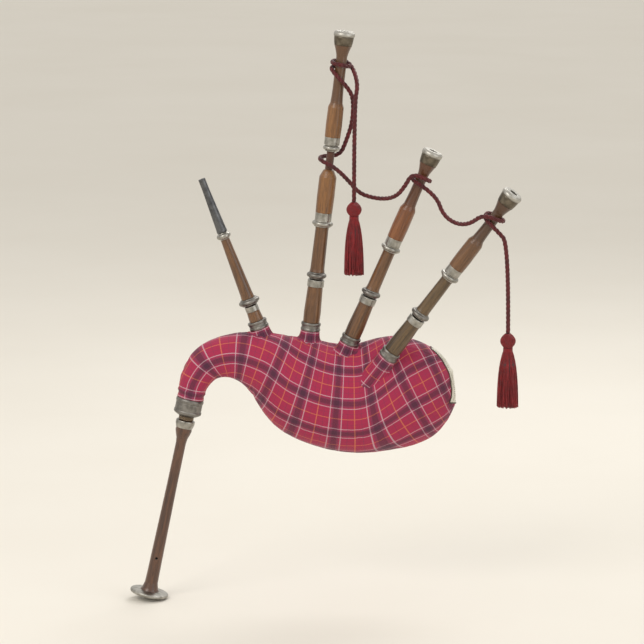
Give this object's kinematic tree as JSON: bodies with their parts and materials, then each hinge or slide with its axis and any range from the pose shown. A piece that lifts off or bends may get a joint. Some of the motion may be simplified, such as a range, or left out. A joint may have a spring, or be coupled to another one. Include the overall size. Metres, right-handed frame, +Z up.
{
  "type": "bagpipes",
  "caption": "Highland-type bagpipes: tartan-covered bag with bass and tenor drones that slide to tune, blowpipe, chanter with a wide sole, and drone cord with tassels.",
  "frame": {"origin": "middle of the bag, where the piper's arm holds it", "axes": "+X along the bag from its neck to its rear, +Z up the drones, -Y the side that shows in the drawing"},
  "size_m": [0.7716, 0.2528, 1.1431],
  "materials": {
    "hide": "matte",
    "tartan_cloth": "matte",
    "trim_cloth": "matte",
    "silk_cord": "satin",
    "tassel_silk": "satin",
    "hemp_thread": "matte",
    "bridle_rubber": "matte",
    "cane": "satin",
    "brass_staple": "satin",
    "valve_leather": "matte",
    "dark_metal": "satin",
    "pewter": "satin",
    "nickel": "satin",
    "dark_wood": "satin",
    "drone_wood": "satin"
  },
  "bodies": {
    "bag_and_stocks": {"bag": "hide", "bag_cover": "tartan_cloth", "bass_bottom_hemp": "hemp_thread", "bass_bottom_joint": "drone_wood", "bass_bottom_ring": "pewter", "bass_reed": "cane", "bass_reed_bridle": "bridle_rubber", "bass_reed_tongue": "cane", "bass_stock": "drone_wood", "blowpipe_stock": "drone_wood", "chanter_stock": "dark_wood", "chanter_stock_collar": "pewter", "cord_tenors": "silk_cord", "cover_trim": "trim_cloth", "stock_collars": "pewter", "stock_ferrules": "nickel", "stock_ties": "hemp_thread", "tassel_2": "tassel_silk", "tenor_1_stock": "drone_wood", "tenor_2_stock": "drone_wood"},
    "bass_middle": {"bass_middle_ferrule": "nickel", "bass_middle_hemp": "hemp_thread", "bass_middle_joint": "drone_wood", "cord_bass_waist": "silk_cord"},
    "bass_top": {"bass_ring_cap": "nickel", "bass_top_ferrule": "nickel", "bass_top_joint": "drone_wood", "cord_bass_neck": "silk_cord", "tassel_1": "tassel_silk"},
    "blowpipe": {"blowpipe": "drone_wood", "blowpipe_ferrule": "nickel", "blowpipe_hemp": "hemp_thread", "blowpipe_ring": "pewter"},
    "chanter": {"chanter": "dark_wood", "chanter_ferrule": "nickel", "chanter_hemp": "hemp_thread", "chanter_reed": "cane", "chanter_reed_staple": "brass_staple", "chanter_sole": "nickel"},
    "mouthpiece": {"mouthpiece": "dark_metal"},
    "tenor_1_bottom": {"tenor_1_bottom_hemp": "hemp_thread", "tenor_1_bottom_joint": "drone_wood", "tenor_1_bottom_ring": "pewter", "tenor_1_reed": "cane", "tenor_1_reed_bridle": "bridle_rubber", "tenor_1_reed_tongue": "cane"},
    "tenor_1_top": {"tenor_1_ring_cap": "nickel", "tenor_1_top_ferrule": "nickel", "tenor_1_top_joint": "drone_wood"},
    "tenor_2_bottom": {"tenor_2_bottom_hemp": "hemp_thread", "tenor_2_bottom_joint": "drone_wood", "tenor_2_bottom_ring": "pewter", "tenor_2_reed": "cane", "tenor_2_reed_bridle": "bridle_rubber", "tenor_2_reed_tongue": "cane"},
    "tenor_2_top": {"tenor_2_ring_cap": "nickel", "tenor_2_top_ferrule": "nickel", "tenor_2_top_joint": "drone_wood"},
    "valve_flap": {"valve_flap": "valve_leather"}
  },
  "joints": [
    {"name": "bass_lower_tuning_slide", "type": "slide", "parent": "bag_and_stocks", "child": "bass_middle", "axis": [0.1132, 0, 0.9936], "range_m": [0, 0.04]},
    {"name": "bass_upper_tuning_slide", "type": "slide", "parent": "bass_middle", "child": "bass_top", "axis": [0.1132, 0, 0.9936], "range_m": [0, 0.03]},
    {"name": "tenor_1_turn_in_stock", "type": "hinge", "parent": "bag_and_stocks", "child": "tenor_1_bottom", "pos_m": [0.03256, -0.02843, 0.20222], "axis": [0.3916, -0.0593, 0.9182], "continuous": true},
    {"name": "tenor_2_turn_in_stock", "type": "hinge", "parent": "bag_and_stocks", "child": "tenor_2_bottom", "pos_m": [0.12637, -0.08476, 0.17078], "axis": [0.5747, -0.1736, 0.7997], "continuous": true},
    {"name": "tenor_1_tuning_slide", "type": "slide", "parent": "tenor_1_bottom", "child": "tenor_1_top", "axis": [0.3916, -0.0593, 0.9182], "range_m": [0, 0.03]},
    {"name": "tenor_2_tuning_slide", "type": "slide", "parent": "tenor_2_bottom", "child": "tenor_2_top", "axis": [0.5747, -0.1736, 0.7997], "range_m": [0, 0.03]},
    {"name": "blowpipe_turn_in_stock", "type": "hinge", "parent": "bag_and_stocks", "child": "blowpipe", "pos_m": [-0.1974, 0, 0.17429], "axis": [-0.3551, 0, 0.9348], "continuous": true},
    {"name": "mouthpiece_pull", "type": "slide", "parent": "blowpipe", "child": "mouthpiece", "axis": [-0.3551, 0, 0.9348], "range_m": [0, 0.025]},
    {"name": "valve_flap_hinge", "type": "hinge", "parent": "blowpipe", "child": "valve_flap", "pos_m": [-0.17874, 0, 0.14373], "axis": [0, -1, 0], "range_deg": [0, 55], "stiffness_Nm_per_rad": 0.0004},
    {"name": "chanter_turn_in_stock", "type": "hinge", "parent": "bag_and_stocks", "child": "chanter", "pos_m": [-0.32789, 0, -0.03263], "axis": [-0.2096, 0, -0.9778], "continuous": true}
  ]
}
